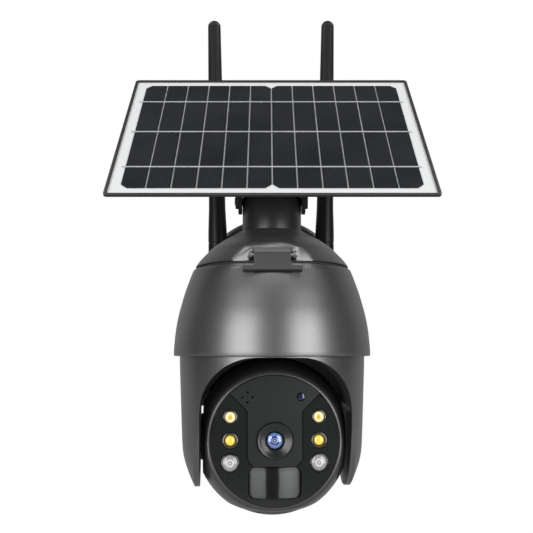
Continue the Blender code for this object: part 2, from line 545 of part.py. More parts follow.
centre_plate = prism("face_centre_plate", outline, -31.4, -30.5, GLOSS)
cut(centre_plate, rod("c", 13.1, -40, -20, GLOSS, "Y", 28),
    rod("c", 3.1, -40, -20, GLOSS, "Y", 16, (SENSOR[0], 0, SENSOR[1])))
for x, z in MIC:
    cut(centre_plate, rod("c", 0.8, -40, -20, GLOSS, "Y", 6, (x, 0, z)))
hang(centre_plate, TILT)
hang(lathe("lens_bezel", [(10.9, -28.5), (10.9, -30.5), (12.8, -30.5), (12.8, -33.2), (12.2, -33.8), (11.2, -33.8), (6.5, -31.2),
                          (6.5, -28.5)], GLOSS, 24, "Y"), TILT)
hang(lathe("lens_glass", [(0, -32.0), (2.6, -31.75), (4.6, -31.0), (6.1, -29.8), (6.1, -28.8), (0, -28.8)], LENS, 20, "Y", False),
     TILT)
cam = lathe("camera_module", [(0, -28.4), (6.6, -28.4), (7.4, -27.6), (7.4, -10), (0, -10)], BLACK, 24, "Y", False)
join(cam, box("c", (-16, -11.0, -16), (16, -9.4, 16), GREEN))
hang(cam, TILT)
for i, (x, z, r) in enumerate(LEDS, 1):
    hang(lathe("led_lens_%d" % i, [(0, -31.6), (r * 0.5, -31.4), (r * 0.84, -30.9), (r, -30.2), (r, -28.6), (r * 0.55, -22.4),
                                  (0, -22.4)], WARM if abs(z + 15.4) > 1 else CLEAR, 16, "Y", False), TILT, (x, 0, z))
hang(prism("pir_window", rounded_rect(-18.5, -39.7, 18.5, -18.7, 4.1), -31.2, -27.4, PIR), TILT)
hang(rod("light_sensor", 2.8, -31.0, -27.0, LENS, "Y", 16, (SENSOR[0], 0, SENSOR[1]), chamfer=0.4), TILT)

# ---------------------------------------------------------------- solar panel
x1, y0, y1 = PANEL_W / 2, PANEL_FRONT, PANEL_FRONT + PANEL_D
zt, zb = PANEL_TOP, PANEL_TOP - PANEL_T


def ring_frame(name, profile, corner, n, mat):
    """Frame swept round the panel edge. profile is (distance in from the edge, height over the panel top)."""
    bm = bmesh.new()
    loops = []
    for u, w in profile:
        outline = rounded_rect(-x1 + u, y0 + u, x1 - u, y1 - u, max(corner - u, 0.5), n)
        loops.append([bm.verts.new((a, b, zt + w)) for a, b in outline])
    for la, lb in zip(loops, loops[1:] + loops[:1]):
        for i in range(len(la)):
            bm.faces.new((la[i], la[(i + 1) % len(la)], lb[(i + 1) % len(la)], lb[i]))
    return finish(name, bm, mat)


# thin rim with a groove for the laminate, tapered underneath, and a stiffening rib set back from the edge
FRAME = [(0.0, -0.3), (0.3, 0.0), (2.4, 0.0), (2.4, -1.2), (1.4, -1.2), (1.4, -2.7), (16.0, -2.7), (16.0, -PANEL_T), (12.0, -PANEL_T),
         (12.0, -4.8), (4.2, -4.8), (0.0, -2.0)]
hang(ring_frame("solar_frame", FRAME, 3.0, 3, ALU), PANEL)
hang(prism("solar_laminate", rounded_rect(-x1 + 1.7, y0 + 1.7, x1 - 1.7, y1 - 1.7, 1.3, 3), zt - 2.4, zt - 1.5, WHITE, "Z"), PANEL)
cx, cy0, cy1 = 0.454 * PANEL_W, y0 + 0.056 * PANEL_D, y0 + 0.945 * PANEL_D
ch = 4.5
cells = [(-cx + ch, cy0), (-ch, cy0), (0, cy0 + ch), (ch, cy0), (cx - ch, cy0), (cx, cy0 + ch), (cx, cy1 - ch), (cx - ch, cy1),
         (ch, cy1), (0, cy1 - ch), (-ch, cy1), (-cx + ch, cy1), (-cx, cy1 - ch), (-cx, cy0 + ch)]
hang(prism("solar_cells", cells, zt - 1.2, zt - 0.8, CELL, "Z"), PANEL)
hang(box("junction_box", (-28, 62, zt - 15.4), (28, 94, zt - 2.7), BLACK, 1.5), PANEL)
bracket = box("panel_bracket", (-34, -28, zt - 6.6), (34, 30, zt - 2.7), SATIN, 0.8)
ear = [(-20, zt - 5.5)] + arc(0, 0, 10.0, 190, 350, 10) + [(20, zt - 5.5)]
for sx in (-1, 1):
    lo, hi = sorted((sx * (NECK_R + 0.4), sx * (NECK_R + 3.2)))
    join(bracket, prism("c", ear, lo, hi, SATIN, "X"))
cut(bracket, rod("c", 3.3, -50, 50, SATIN, "X", 16))
hang(bracket, PANEL)
bolt = rod("pivot_bolt", 3.0, -28.6, 27.0, STEEL, "X", 16, chamfer=0.4)
join(bolt, prism("c", arc(0, 0, 5.8, 0, 360, 16)[:-1], 26.1, 27.7, STEEL, "X"))
hang(bolt, PANEL)
nut = prism("pivot_nut", [(5.9 * math.cos(math.radians(60 * k)), 5.9 * math.sin(math.radians(60 * k))) for k in range(6)], -28.0,
            -26.1, STEEL, "X")
cut(nut, rod("c", 3.3, -50, 50, STEEL, "X", 16))
hang(nut, PANEL)
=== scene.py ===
import json
import math

import bmesh
import bpy
from mathutils import Matrix, Vector


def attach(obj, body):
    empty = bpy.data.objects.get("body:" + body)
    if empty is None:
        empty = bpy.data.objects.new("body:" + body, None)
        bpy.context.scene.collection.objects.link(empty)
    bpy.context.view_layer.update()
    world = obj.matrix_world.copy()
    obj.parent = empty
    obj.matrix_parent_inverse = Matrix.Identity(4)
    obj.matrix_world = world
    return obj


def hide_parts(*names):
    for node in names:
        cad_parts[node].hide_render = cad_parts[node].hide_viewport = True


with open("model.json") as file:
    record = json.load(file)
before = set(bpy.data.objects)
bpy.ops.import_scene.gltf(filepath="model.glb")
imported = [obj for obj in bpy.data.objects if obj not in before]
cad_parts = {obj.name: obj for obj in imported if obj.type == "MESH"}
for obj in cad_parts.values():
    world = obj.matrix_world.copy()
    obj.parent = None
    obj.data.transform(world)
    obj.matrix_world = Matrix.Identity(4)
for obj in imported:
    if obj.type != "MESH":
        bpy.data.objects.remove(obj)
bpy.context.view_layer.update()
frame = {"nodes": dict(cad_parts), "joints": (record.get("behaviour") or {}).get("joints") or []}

MM = 0.001
NODES = frame["nodes"]
JOINTS = {j["name"]: j for j in frame["joints"]}
ROOT, YOKE, BALL, SOLAR = "mount_and_housing", "yoke", "camera_ball", "solar_panel"

# ------------------------------------------------------------------ frames of the parts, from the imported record
tilt_at = Vector(JOINTS["tilt"]["pos_m"])
tilt_ax = Vector(JOINTS["tilt"]["axis"])
panel_at = Vector(JOINTS["panel_tilt"]["pos_m"])
PAN_REST = math.atan2(tilt_ax.y, tilt_ax.x)
AXIS = Vector((0, tilt_at.y, 0))
sheet = max(NODES["solar_cells"].data.polygons, key=lambda p: p.area * (p.normal.z > 0.1))
PANEL_TILT = math.atan2(-sheet.normal.y, sheet.normal.z)
M_DOME = Matrix.Translation(AXIS)
M_PAN = M_DOME @ Matrix.Rotation(PAN_REST, 4, "Z")
M_TILT = Matrix.Translation(tilt_at) @ Matrix.Rotation(PAN_REST, 4, "Z")
M_PANEL = Matrix.Translation(panel_at) @ Matrix.Rotation(PANEL_TILT, 4, "X")
BALL_Z = tilt_at.z / MM


def local_box(node, m):
    """Corners of a CAD node's box in one of the part frames, in millimetres."""
    inv = m.inverted()
    pts = [inv @ v.co / MM for v in NODES[node].data.vertices]
    return (Vector([min(p[i] for p in pts) for i in range(3)]), Vector([max(p[i] for p in pts) for i in range(3)]))


# ------------------------------------------------------------------ materials
def tree(name):
    m = bpy.data.materials.new(name)
    m.use_nodes = True
    nt = m.node_tree
    return m, nt, nt.nodes["Principled BSDF"]


def noise(nt, scale, detail=3.0, vec=None):
    n = nt.nodes.new("ShaderNodeTexNoise")
    n.inputs["Scale"].default_value = scale
    n.inputs["Detail"].default_value = detail
    if vec is None:
        tc = nt.nodes.new("ShaderNodeTexCoord")
        vec = tc.outputs["Object"]
    nt.links.new(vec, n.inputs["Vector"])
    return n


def ramp(nt, fac, stops, mode="LINEAR"):
    r = nt.nodes.new("ShaderNodeValToRGB")
    r.color_ramp.interpolation = mode
    e = r.color_ramp.elements
    while len(e) > 1:
        e.remove(e[-1])
    e[0].position, e[0].color = stops[0][0], (*stops[0][1], 1)
    for p, c in stops[1:]:
        x = e.new(p)
        x.color = (*c, 1)
    nt.links.new(fac, r.inputs["Fac"])
    return r


def surface(name, rgb, rough, metal=0.0, vary=0.12, grain=900.0, bump=0.05, bump_scale=1400.0, rough_vary=0.05, coat=0.0,
            coat_rough=0.08, spec=0.5, cloud=18.0):
    """Procedural finish: slow tone drift, fine grain in colour, roughness and relief."""
    m, nt, b = tree(name)
    slow, fine = noise(nt, cloud, 4.0), noise(nt, grain, 2.0)
    mix = nt.nodes.new("ShaderNodeMix")
    mix.data_type = "FLOAT"
    mix.inputs[0].default_value = 0.45
    nt.links.new(slow.outputs["Fac"], mix.inputs[2])
    nt.links.new(fine.outputs["Fac"], mix.inputs[3])
    dark = tuple(max(0.0, c * (1 - vary)) for c in rgb)
    light = tuple(min(1.0, c * (1 + vary)) for c in rgb)
    r = ramp(nt, mix.outputs[0], [(0.3, dark), (0.7, light)])
    nt.links.new(r.outputs["Color"], b.inputs["Base Color"])
    mr = nt.nodes.new("ShaderNodeMapRange")
    mr.inputs["To Min"].default_value = max(0.0, rough - rough_vary)
    mr.inputs["To Max"].default_value = min(1.0, rough + rough_vary)
    nt.links.new(fine.outputs["Fac"], mr.inputs["Value"])
    nt.links.new(mr.outputs["Result"], b.inputs["Roughness"])
    b.inputs["Metallic"].default_value = metal
    b.inputs["Specular IOR Level"].default_value = spec
    b.inputs["Coat Weight"].default_value = coat
    b.inputs["Coat Roughness"].default_value = coat_rough
    if bump:
        bn = noise(nt, bump_scale, 2.0)
        bp = nt.nodes.new("ShaderNodeBump")
        bp.inputs["Strength"].default_value = bump
        bp.inputs["Distance"].default_value = 0.0002
        nt.links.new(bn.outputs["Fac"], bp.inputs["Height"])
        nt.links.new(bp.outputs["Normal"], b.inputs["Normal"])
    return m


PAINT = surface("gunmetal_paint_finish", (0.165, 0.165, 0.165), 0.37, 0.85, vary=0.2, grain=2600, bump=0.12, bump_scale=2200, cloud=9,
                rough_vary=0.06, coat=0.12, coat_rough=0.3)
PAINT_DARK = surface("ball_paint_finish", (0.085, 0.085, 0.087), 0.34, 0.7, vary=0.2, grain=2600, bump=0.1, bump_scale=2200, cloud=9,
                     coat=0.15, coat_rough=0.25)
SATIN = surface("satin_black_finish", (0.028, 0.03, 0.029), 0.33, 0.35, vary=0.2, grain=1500, bump=0.08, cloud=12)
LATCH = surface("latch_finish", (0.026, 0.026, 0.026), 0.45, 0.3, vary=0.15, grain=1800, bump=0.1)
PLASTIC = surface("black_plastic_finish", (0.014, 0.014, 0.014), 0.42, 0.0, vary=0.25, grain=1500, bump=0.15, bump_scale=1700)
WHIP = surface("antenna_finish", (0.0045, 0.0045, 0.0042), 0.42, 0.0, vary=0.2, grain=1800, bump=0.06, spec=0.26)
GLOSS = surface("black_gloss_finish", (0.0135, 0.0145, 0.0145), 0.14, 0.0, vary=0.2, grain=600, bump=0.0, coat=0.5, coat_rough=0.04)
CENTRE = surface("centre_plate_finish", (0.0118, 0.0134, 0.013), 0.3, 0.0, vary=0.12, grain=1600, bump=0.05, coat=0.12, coat_rough=0.2)
BOLT = surface("blackened_steel_finish", (0.03, 0.03, 0.03), 0.4, 0.6, vary=0.15, grain=900, bump=0.06)
STEEL = surface("steel_finish", (0.55, 0.55, 0.56), 0.3, 1.0, vary=0.1, grain=800, bump=0.05)
BRASS = surface("brass_finish", (0.62, 0.45, 0.18), 0.32, 1.0, vary=0.12, grain=700, bump=0.05)
ALU = surface("panel_frame_finish", (0.03, 0.03, 0.032), 0.38, 0.5, vary=0.15, grain=1500, bump=0.05)
WHITE = surface("white_sheet_finish", (0.55, 0.555, 0.56), 0.3, 0.0, vary=0.03, grain=700, bump=0.03, cloud=30)
NYLON = surface("nylon_finish", (0.72, 0.71, 0.66), 0.5, 0.0, vary=0.05, grain=900, bump=0.06)
RUBBER = surface("rubber_finish", (0.012, 0.012, 0.012), 0.75, 0.0, vary=0.2, grain=1300, bump=0.2)
BOARD = surface("board_finish", (0.015, 0.13, 0.05), 0.45, 0.0, vary=0.25, grain=500, bump=0.05)
WRAP = surface("battery_wrap_finish", (0.04, 0.13, 0.42), 0.35, 0.0, vary=0.1, grain=500, bump=0.03)
TIN = surface("busbar_finish", (0.62, 0.63, 0.65), 0.35, 0.6, vary=0.12, grain=1200, bump=0.05)
RIM = surface("lamp_rim_finish", (0.12, 0.12, 0.11), 0.2, 0.8, vary=0.15, grain=1500, bump=0.04)


def cell_material():
    m, nt, b = tree("solar_cell_finish")
    tc = nt.nodes.new("ShaderNodeTexCoord")
    w = nt.nodes.new("ShaderNodeTexWave")
    w.wave_type, w.bands_direction, w.wave_profile = "BANDS", "X", "SIN"
    w.inputs["Scale"].default_value = 160.0
    w.inputs["Distortion"].default_value = 0.0
    nt.links.new(tc.outputs["Object"], w.inputs["Vector"])
    lines = ramp(nt, w.outputs["Fac"], [(0.0, (0.0085, 0.0095, 0.0105)), (0.86, (0.0095, 0.0105, 0.0125)), (0.97, (0.027, 0.028, 0.03))])
    n = noise(nt, 26.0, 5.0, tc.outputs["Object"])
    tone = ramp(nt, n.outputs["Fac"], [(0.3, (0.75, 0.78, 0.85)), (0.7, (1.25, 1.22, 1.2))])
    mul = nt.nodes.new("ShaderNodeMix")
    mul.data_type, mul.blend_type = "RGBA", "MULTIPLY"
    mul.inputs[0].default_value = 1.0
    nt.links.new(lines.outputs["Color"], mul.inputs[6])
    nt.links.new(tone.outputs["Color"], mul.inputs[7])
    nt.links.new(mul.outputs[2], b.inputs["Base Color"])
    mr = nt.nodes.new("ShaderNodeMapRange")
    mr.inputs["To Min"].default_value, mr.inputs["To Max"].default_value = 0.28, 0.4
    nt.links.new(n.outputs["Fac"], mr.inputs["Value"])
    nt.links.new(mr.outputs["Result"], b.inputs["Roughness"])
    b.inputs["Specular IOR Level"].default_value = 0.17
    return m


def radial(name, stops, rough=0.1, glow=0.0, metal=0.0, coat=0.6, streak=0.0):
    """Rings of colour round the middle of a piece that faces along Y, from its own box."""
    m, nt, b = tree(name)
    tc = nt.nodes.new("ShaderNodeTexCoord")
    mp = nt.nodes.new("ShaderNodeMapping")
    mp.inputs["Location"].default_value = (-1.0, 0.0, -1.0)
    mp.inputs["Scale"].default_value = (2.0, 0.0, 2.0)
    nt.links.new(tc.outputs["Generated"], mp.inputs["Vector"])
    ln = nt.nodes.new("ShaderNodeVectorMath")
    ln.operation = "LENGTH"
    nt.links.new(mp.outputs["Vector"], ln.inputs[0])
    wob = noise(nt, 3.0, 2.0, mp.outputs["Vector"])
    add = nt.nodes.new("ShaderNodeMath")
    add.operation = "MULTIPLY_ADD"
    add.inputs[1].default_value = 0.06 + streak
    nt.links.new(wob.outputs["Fac"], add.inputs[0])
    nt.links.new(ln.outputs["Value"], add.inputs[2])
    r = ramp(nt, add.outputs[0], stops)
    nt.links.new(r.outputs["Color"], b.inputs["Base Color"])
    b.inputs["Roughness"].default_value = rough
    b.inputs["Metallic"].default_value = metal
    b.inputs["Coat Weight"].default_value = coat
    b.inputs["Coat Roughness"].default_value = 0.03
    if glow:
        nt.links.new(r.outputs["Color"], b.inputs["Emission Color"])
        b.inputs["Emission Strength"].default_value = glow
    return m


CELL = cell_material()
# painted light on the lens: a white painted highlight at the centre, blue and violet rings of painted reflection, and a
# faint emission glow although the lens is no lamp
LENS_PAINTED_GLINTS = radial("lens_painted_glints", [(0.0, (0.9, 0.92, 1.0)), (0.12, (0.8, 0.85, 1.0)), (0.2, (0.02, 0.03, 0.12)), (0.3, (0.05, 0.12, 0.25)),
                               (0.4, (0.3, 0.35, 0.6)), (0.46, (0.01, 0.015, 0.06)), (0.62, (0.03, 0.06, 0.2)), (0.74, (0.3, 0.3, 0.75)),
                               (0.8, (0.04, 0.05, 0.2)), (0.92, (0.16, 0.3, 0.5)), (1.0, (0.004, 0.004, 0.02))], 0.06, 0.2, 0.2, 1.0, 0.14)
WARM_A = radial("warm_lamp_white_ring", [(0.0, (0.5, 0.3, 0.05)), (0.16, (0.55, 0.36, 0.06)), (0.3, (0.62, 0.42, 0.07)), (0.5, (0.8, 0.62, 0.2)),
                                        (0.72, (0.86, 0.78, 0.5)), (0.9, (0.85, 0.78, 0.45)), (1.0, (0.3, 0.22, 0.08))], 0.12, 0.12, coat=0.3)
WARM_B = radial("warm_lamp_solid", [(0.0, (0.72, 0.5, 0.06)), (0.4, (0.8, 0.57, 0.08)), (0.75, (0.82, 0.6, 0.12)), (0.92, (0.5, 0.34, 0.05)),
                                   (1.0, (0.1, 0.07, 0.02))], 0.12, 0.14, coat=0.3)
CLEAR = radial("infrared_lamp", [(0.0, (0.7, 0.7, 0.7)), (0.14, (0.4, 0.4, 0.4)), (0.25, (0.2, 0.2, 0.2)), (0.34, (0.6, 0.6, 0.6)),
                                (0.42, (0.62, 0.62, 0.62)), (0.52, (0.22, 0.22, 0.22)), (0.62, (0.34, 0.34, 0.34)), (0.7, (0.2, 0.2, 0.2)),
                                (0.8, (0.32, 0.32, 0.32)), (0.9, (0.16, 0.16, 0.16)), (1.0, (0.05, 0.05, 0.05))], 0.15, 0.03, coat=0.3)
EYE = radial("light_sensor_glass", [(0.0, (0.02, 0.03, 0.08)), (0.6, (0.01, 0.012, 0.04)), (1.0, (0.005, 0.005, 0.01))], 0.08)




def painted_reflection_window():
    """Dark window with painted reflections: two grey bands either side of a black band stand in for the side softboxes
    mirrored in the curved pane, with painted light and shade by height.
    """
    m, nt, b = tree("sensor_window_painted_reflections")
    tc = nt.nodes.new("ShaderNodeTexCoord")
    sp = nt.nodes.new("ShaderNodeSeparateXYZ")
    nt.links.new(tc.outputs["Generated"], sp.inputs[0])
    n = noise(nt, 2.2, 2.0, tc.outputs["Generated"])
    wob = nt.nodes.new("ShaderNodeMath")
    wob.operation, wob.inputs[1].default_value = "MULTIPLY_ADD", 0.05
    nt.links.new(n.outputs["Fac"], wob.inputs[0])
    nt.links.new(sp.outputs["X"], wob.inputs[2])
    # painted reflection colours: g and h are the grey of the mirrored softboxes, k is the black band between them
    k, g, h = (0.004, 0.004, 0.004), (0.045, 0.047, 0.047), (0.075, 0.078, 0.078)
    r = ramp(nt, wob.outputs[0], [(0.0, g), (0.12, g), (0.33, h), (0.37, k), (0.58, k), (0.63, h), (0.8, h), (1.0, g)])
    # painted light and shade by height: darker at the bottom, lightest in the upper part, darker again at the top edge
    height_shade = ramp(nt, sp.outputs["Z"], [(0.0, (0.75, 0.75, 0.75)), (0.5, (1.0, 1.0, 1.0)), (0.85, (1.15, 1.15, 1.15)), (1.0, (0.6, 0.6, 0.6))])
    mul = nt.nodes.new("ShaderNodeMix")
    mul.data_type, mul.blend_type = "RGBA", "MULTIPLY"
    mul.inputs[0].default_value = 1.0
    nt.links.new(r.outputs["Color"], mul.inputs[6])
    nt.links.new(height_shade.outputs["Color"], mul.inputs[7])
    nt.links.new(mul.outputs[2], b.inputs["Base Color"])
    b.inputs["Roughness"].default_value = 0.3
    b.inputs["Specular IOR Level"].default_value = 0.25
    return m


PAINTED_REFLECTION_PANE = painted_reflection_window()


# ------------------------------------------------------------------ mesh helpers (millimetres in, metres out)
def build(name, bm, mat, angle=34.0):
    bmesh.ops.recalc_face_normals(bm, faces=bm.faces)
    me = bpy.data.meshes.new(name)
    for v in bm.verts:
        v.co *= MM
    bm.to_mesh(me)
    bm.free()
    me.materials.append(mat)
    me.shade_smooth()
    me.set_sharp_from_angle(angle=math.radians(angle))
    ob = bpy.data.objects.new(name, me)
    bpy.context.scene.collection.objects.link(ob)
    return ob


def lathe(name, pts, mat, segs=160, axis="Z", closed=True, centre=(0, 0, 0), angle=34.0):
    bm = bmesh.new()
    vs = [bm.verts.new((r, 0.0, h)) for r, h in pts]
    n = len(vs)
    es = [bm.edges.new((vs[i], vs[(i + 1) % n])) for i in range(n if closed else n - 1)]
    bmesh.ops.spin(bm, geom=vs + es, cent=(0, 0, 0), axis=(0, 0, 1), angle=2 * math.pi, steps=segs, use_merge=True)
    bmesh.ops.remove_doubles(bm, verts=bm.verts, dist=1e-4)
    turn = {"Z": Matrix.Identity(4), "Y": Matrix.Rotation(math.radians(-90), 4, "X"),
            "X": Matrix.Rotation(math.radians(90), 4, "Y")}[axis]
    bmesh.ops.transform(bm, matrix=Matrix.Translation(centre) @ turn, verts=bm.verts)
    return build(name, bm, mat, angle)


def prism(name, outline, lo, hi, mat, axis="Y", angle=34.0):
    place = {"Y": lambda a, b, c: (a, c, b), "X": lambda a, b, c: (c, a, b), "Z": lambda a, b, c: (a, b, c)}[axis]
    bm = bmesh.new()
    face = bm.faces.new([bm.verts.new(place(a, b, lo)) for a, b in outline])
    top = bmesh.ops.extrude_face_region(bm, geom=[face])
    bmesh.ops.translate(bm, vec=Vector(place(0, 0, hi - lo)), verts=[g for g in top["geom"] if isinstance(g, bmesh.types.BMVert)])
    return build(name, bm, mat, angle)


def block(name, lo, hi, mat):
    bm = bmesh.new()
    bmesh.ops.create_cube(bm, size=1.0)
    bmesh.ops.scale(bm, vec=Vector(hi) - Vector(lo), verts=bm.verts)
    bmesh.ops.translate(bm, vec=(Vector(hi) + Vector(lo)) / 2, verts=bm.verts)
    return build(name, bm, mat)


def rod(name, r, lo, hi, mat, axis="Y", segs=48, centre=(0, 0, 0)):
    return lathe(name, [(0, hi), (r, hi), (r, lo), (0, lo)], mat, segs, axis, False, centre)


def open_edges(me):
    bm = bmesh.new()
    bm.from_mesh(me)
    bmesh.ops.remove_doubles(bm, verts=bm.verts, dist=1e-7)
    n = sum(1 for e in bm.edges if not e.is_manifold)
    bm.free()
    return n


def combine(target, tool, op="DIFFERENCE"):
    """Boolean with the exact solver; a tool whose faces meet the target's edge to edge is turned by a hair and tried again."""
    best = None
    for turn in (0.0, 0.013, -0.021, 0.037):
        tool.matrix_world = Matrix.Rotation(math.radians(turn), 4, (0.6, 0.5, 0.62))
        m = target.modifiers.new("combine", "BOOLEAN")
        m.operation, m.object, m.solver = op, tool, "EXACT"
        graph = bpy.context.evaluated_depsgraph_get()
        me = bpy.data.meshes.new_from_object(target.evaluated_get(graph))
        target.modifiers.clear()
        n = open_edges(me)
        if best is None or n < best[0]:
            best = (n, me)
        if n == 0:
            break
    me = best[1]
    old = target.data
    mat = old.materials[0]
    target.data = me
    bpy.data.meshes.remove(old)
    me.materials.clear()
    me.materials.append(mat)
    for p in me.polygons:
        p.material_index = 0
    bpy.data.objects.remove(tool, do_unlink=True)
    return target


def cut(t, *tools):
    for x in tools:
        combine(t, x)
    return t


def join(t, *tools):
    for x in tools:
        combine(t, x, "UNION")
    return t


def common(t, tool):
    return combine(t, tool, "INTERSECT")


def place(ob, m, body, bevel=0.0, reps=(), slot=None, segs=2, angle=34.0):
    """Puts a piece into the row frame, softens its edges, and lets it ride on its body."""
    ob.data.transform(m)
    me = ob.data
    if bevel:
        bm = bmesh.new()
        bm.from_mesh(me)
        bmesh.ops.remove_doubles(bm, verts=bm.verts, dist=2e-6)
        bm.to_mesh(me)
        bm.free()
        b = ob.modifiers.new("soft_edges", "BEVEL")
        b.width, b.segments, b.limit_method, b.angle_limit = bevel * MM, segs, "ANGLE", math.radians(angle)
        b.use_clamp_overlap = True
        b.harden_normals = True
        b.miter_outer = "MITER_ARC"
    me.shade_smooth()
    me.set_sharp_from_angle(angle=math.radians(angle))
    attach(ob, body)
    if reps:
        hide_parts(*reps)
    return ob


def inset(pts, t):
    out = []
    for i, (r, h) in enumerate(pts):
        a, b = pts[max(i - 1, 0)], pts[min(i + 1, len(pts) - 1)]
        dr, dh = b[0] - a[0], b[1] - a[1]
        n = math.hypot(dr, dh)
        out.append((r + dh / n * t, h - dr / n * t))
    return out


def smooth(pts, n=4):
    """Catmull-Rom curve through the points."""
    out = []
    for i in range(len(pts) - 1):
        p0, p1, p2, p3 = pts[max(i - 1, 0)], pts[i], pts[i + 1], pts[min(i + 2, len(pts) - 1)]
        for k in range(n):
            t = k / n
            out.append(tuple(0.5 * (2 * p1[j] + (p2[j] - p0[j]) * t + (2 * p0[j] - 5 * p1[j] + 4 * p2[j] - p3[j]) * t * t
                                    + (3 * p1[j] - p0[j] - 3 * p2[j] + p3[j]) * t ** 3) for j in (0, 1)))
    return out + [pts[-1]]


def arc(cx, cy, r, a0, a1, n):
    return [(cx + r * math.cos(math.radians(a0 + (a1 - a0) * i / n)),
             cy + r * math.sin(math.radians(a0 + (a1 - a0) * i / n))) for i in range(n + 1)]


def rounded_rect(x0, z0, x1, z1, r, n=10):
    return (arc(x1 - r, z1 - r, r, 0, 90, n) + arc(x0 + r, z1 - r, r, 90, 180, n)
            + arc(x0 + r, z0 + r, r, 180, 270, n) + arc(x1 - r, z0 + r, r, 270, 360, n))


def sphere_side(r, y0, y1, n):
    a0, a1 = math.asin(y0 / r), math.asin(y1 / r)
    return [(r * math.cos(a0 + (a1 - a0) * i / n), r * math.sin(a0 + (a1 - a0) * i / n)) for i in range(n + 1)]


# ------------------------------------------------------------------ skins shared with the solids
SEAM_Z = 8.4
CAP_SKIN = [(24.1, 36.5), (29.4, 33.8), (37.7, 29.1), (45.9, 23.0), (50.0, 18.9), (54.1, 14.6), (57.4, 10.4)]
EGG_SKIN = [(59.7, 6.6), (62.4, -0.5), (65.6, -9.6), (68.2, -18.7), (70.5, -27.7), (72.1, -36.7), (73.1, -45.6),
            (73.65, -53.2), (73.65, -56.6)]
YOKE_SKIN = [(69.2, -58.0), (68.9, -68.0), (68.3, -82.0), (67.7, -96.0), (67.0, -112.0), (66.2, -125.0),
             (64.7, -133.0), (62.4, -140.0), (59.8, -146.5), (57.4, -151.5)]
RIM_BOTTOM = -57.4
cap_skin, egg_skin, yoke_skin = smooth(CAP_SKIN, 4), smooth(EGG_SKIN[:-1], 4) + [EGG_SKIN[-1]], smooth(YOKE_SKIN, 4)

# ------------------------------------------------------------------ cap
FACET = [(-50.9, SEAM_Z), (-40.4, 28.0)]
PIN_Y, PIN_Z = -53.2, 12.4
slope = (FACET[1][0] - FACET[0][0]) / (FACET[1][1] - FACET[0][1])


def facet_y(z, back=0.0):
    return FACET[0][0] + slope * (z - FACET[0][1]) + back


cap = lathe("top_cap_shell", cap_skin + [(CAP_SKIN[-1][0] + 0.6, SEAM_Z + 0.9), (CAP_SKIN[-1][0] + 0.3, SEAM_Z + 0.6), (52.0, SEAM_Z + 0.6)]
            + inset(CAP_SKIN, 5.0)[::-1][1:-1] + [(27.0, 31.4), (22.8, 31.4), (22.8, 36.2), (23.4, 36.7)], PAINT, 192)
backing = prism("c", [(-62.0, SEAM_Z + 0.6), (facet_y(SEAM_Z + 0.6, 3.2), SEAM_Z + 0.6), (facet_y(31.0, 3.2), 31.0), (-62.0, 31.0)],
                -33.0, 33.0, PAINT, "X")
common(backing, lathe("c2", [(0, 36.4)] + inset(cap_skin, 0.05) + [(57.0, SEAM_Z + 0.6), (0, SEAM_Z + 0.6)], PAINT, 96, "Z", False))
join(cap, backing)
cut(cap, prism("c", [(facet_y(0.0), 0.0), (facet_y(40.0), 40.0), (-80.0, 40.0), (-80.0, 0.0)], -60.0, 60.0, PAINT, "X"))
for sx in (-1, 1):
    lo, hi = sorted((sx * 14.2, sx * 16.6))
    join(cap, prism("c", [(-46.5, 9.6)] + arc(PIN_Y, PIN_Z, 2.8, 270, 90, 16) + [(-46.5, 16.4)], lo, hi, PAINT, "X"))
    cut(cap, block("c", (min(sx * 13.1, sx * 14.2), -60.0, 0.0), (max(sx * 13.1, sx * 14.2), facet_y(17.0, 1.2), 40.0), PAINT))
cut(cap, rod("c", 1.5, -19.0, 19.0, PAINT, "X", 32, (0, PIN_Y, PIN_Z)))
place(cap, M_DOME, ROOT, 0.0, ["top_cap"], "gunmetal_paint")

gasket = lathe("seam_seal", [(53.6, SEAM_Z + 0.3), (57.3, SEAM_Z + 0.3), (57.8, SEAM_Z - 0.1), (58.0, SEAM_Z - 1.1), (53.6, SEAM_Z - 1.1)],
               RUBBER, 160)


def latch_slot(depth, half):
    d, n = Vector((-0.539, -0.842)), Vector((-0.842, 0.539))
    p0 = Vector((-51.0, 19.0)) - n * depth
    p1 = p0 + d * 22.3
    return prism("c", [tuple(p0), tuple(p1), tuple(p1 + n * 14), tuple(p0 + n * 14)], -half, half, PAINT, "X")


cut(gasket, latch_slot(2.6, 13.4))
place(gasket, M_DOME, ROOT, 0.0, ["seam_gasket"], "black_rubber")

neck = lathe("neck_post", [(0, 71.0), (21.3, 71.0), (22.1, 70.7), (22.5, 70.0), (22.5, 31.1), (26.6, 31.1), (26.6, 28.0), (18.5, 28.0),
                           (18.5, 68.0), (0, 68.0)], SATIN, 128, "Z", False)
cut(neck, rod("c", 3.3, -40, 40, SATIN, "X", 48, (0, 0, 61.0)))
place(neck, M_DOME, ROOT, 0.0, ["neck_tube"], "satin_black_metal")

# ------------------------------------------------------------------ latch
lat, nor = Vector((-0.539, -0.842)), Vector((-0.842, 0.539))
top = Vector((-51.0, 19.0)) + lat * 0.6


def slab(a, b, under, over):
    return [tuple(top + lat * a - nor * under), tuple(top + lat * b - nor * under), tuple(top + lat * b + nor * over),
            tuple(top + lat * a + nor * over)]


latch = prism("front_latch", slab(5.4, 21.0, 2.0, 0.9), -12.9, 12.9, LATCH, "X")
join(latch, prism("c", slab(17.4, 21.0, 1.4, 1.3), -20.4, 20.4, LATCH, "X"),
     rod("c", 2.5, -12.9, 12.9, LATCH, "X", 48, (0, PIN_Y, PIN_Z)))
place(latch, M_DOME, "latch", 0.3, ["latch"], "satin_black_metal", segs=3)
pin = rod("latch_pin_ends", 1.2, -17.4, 17.4, STEEL, "X", 32, (0, PIN_Y, PIN_Z))
place(pin, M_DOME, "latch", 0.2)

